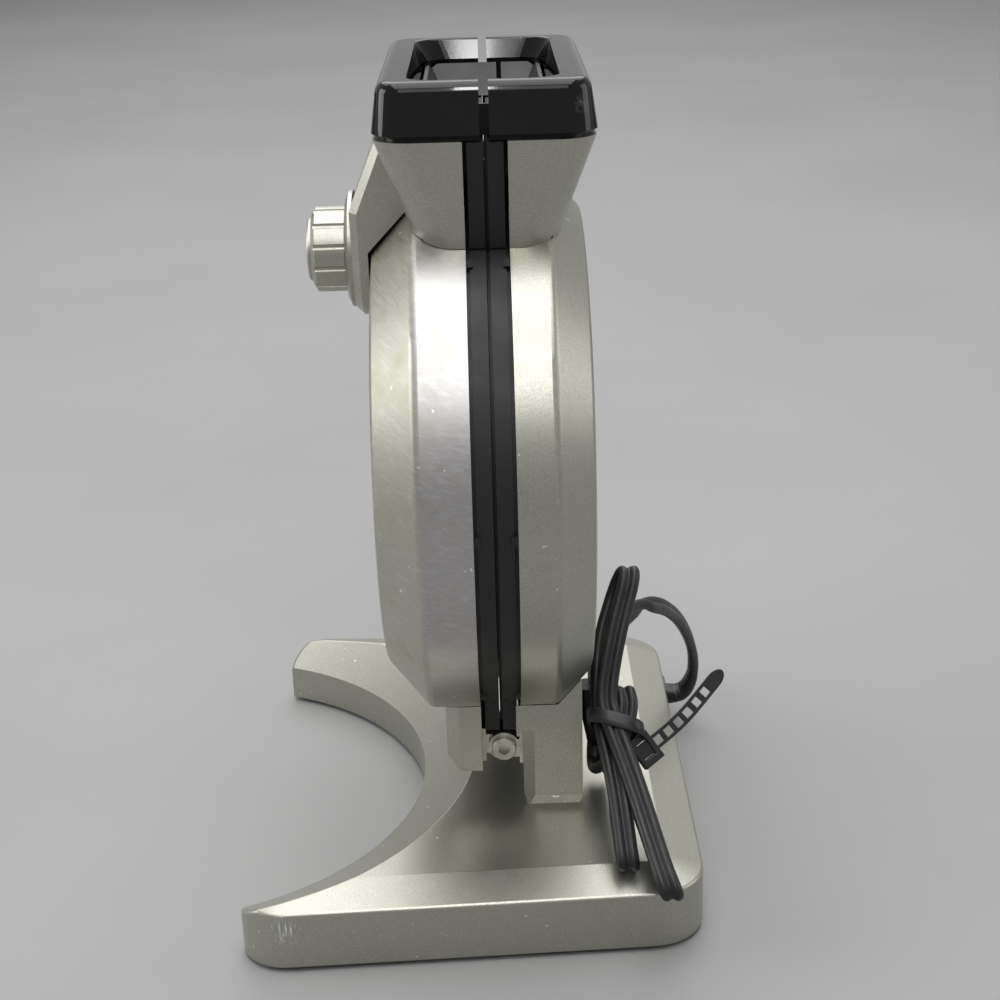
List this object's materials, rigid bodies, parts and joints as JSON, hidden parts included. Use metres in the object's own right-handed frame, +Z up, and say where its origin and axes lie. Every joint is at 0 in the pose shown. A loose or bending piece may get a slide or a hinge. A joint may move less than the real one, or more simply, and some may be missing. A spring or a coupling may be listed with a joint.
{
  "type": "vertical waffle maker",
  "caption": "Upright round waffle maker with a tip-forward front half, pouring mouth in its handle, dial on a raised housing and a U-shaped base",
  "frame": {"origin": "on the table, under the middle of the base's footprint", "axes": "+Z up, -Y to the front (the side with the dial), +X to the right seen from the front"},
  "size_m": [0.2466, 0.2051, 0.333],
  "materials": {
    "champagne_paint": "satin metallic paint, warm grey",
    "brushed_steel": "fine circumferential brushing",
    "gloss_black_plastic": "polished black",
    "black_plastic": "matte black, heat resistant",
    "satin_silver": "satin silver",
    "zinc_steel": "bright zinc plate",
    "bare_steel": "dull rolled sheet",
    "coated_casting": "dark non-stick coating",
    "brass": "plain turned",
    "lamp_lens": "clear coloured",
    "board": "coated laminate",
    "cord_rubber": "matte black"
  },
  "bodies": {
    "base": {"base_shell": "champagne_paint", "base_bottom_plate": "black_plastic", "base_feet": "black_plastic", "base_plate_screws": "zinc_steel", "column": "champagne_paint", "column_screws": "zinc_steel", "terminal_block": "black_plastic", "inner_lead": "cord_rubber", "hinge_bracket": "zinc_steel", "hinge_pins": "zinc_steel", "rear_cover": "champagne_paint", "rear_rim": "black_plastic", "rear_rim_screws": "zinc_steel", "rear_waffle_plate": "coated_casting", "rear_heating_element": "bare_steel", "rear_reflector": "bare_steel", "rear_plate_screws": "zinc_steel", "rear_handle": "gloss_black_plastic", "rear_handle_screws": "zinc_steel", "rear_pour_chute": "black_plastic", "cord_gland": "cord_rubber", "cord_lead": "cord_rubber", "cord_hank": "cord_rubber", "cord_plug_lead": "cord_rubber", "cord_tie": "cord_rubber", "plug_body": "cord_rubber", "plug_blades": "zinc_steel"},
    "lid": {"hinge_knuckles": "zinc_steel", "hinge_bushes": "brass", "hinge_arm": "champagne_paint", "front_cover": "brushed_steel", "front_neck": "champagne_paint", "control_housing": "champagne_paint", "dial_bezel": "satin_silver", "thermostat_body": "black_plastic", "indicator_lenses": "lamp_lens", "indicator_board": "board", "front_rim": "black_plastic", "front_rim_screws": "zinc_steel", "front_waffle_plate": "coated_casting", "front_heating_element": "bare_steel", "front_reflector": "bare_steel", "front_plate_screws": "zinc_steel", "front_handle": "gloss_black_plastic", "front_handle_screws": "zinc_steel", "front_pour_chute": "black_plastic"},
    "knob": {"control_knob": "satin_silver", "knob_cap": "satin_silver", "thermostat_shaft": "zinc_steel"}
  },
  "joints": [
    {"name": "lid_hinge", "type": "hinge", "parent": "base", "child": "lid", "pos_m": [0, 0.0139, 0.0556], "axis": [1, 0, 0], "range_deg": [0, 66]},
    {"name": "knob_turn", "type": "hinge", "parent": "lid", "child": "knob", "pos_m": [0, -0.042, 0.259], "axis": [0, -1, 0], "range_deg": [0, 270]}
  ]
}
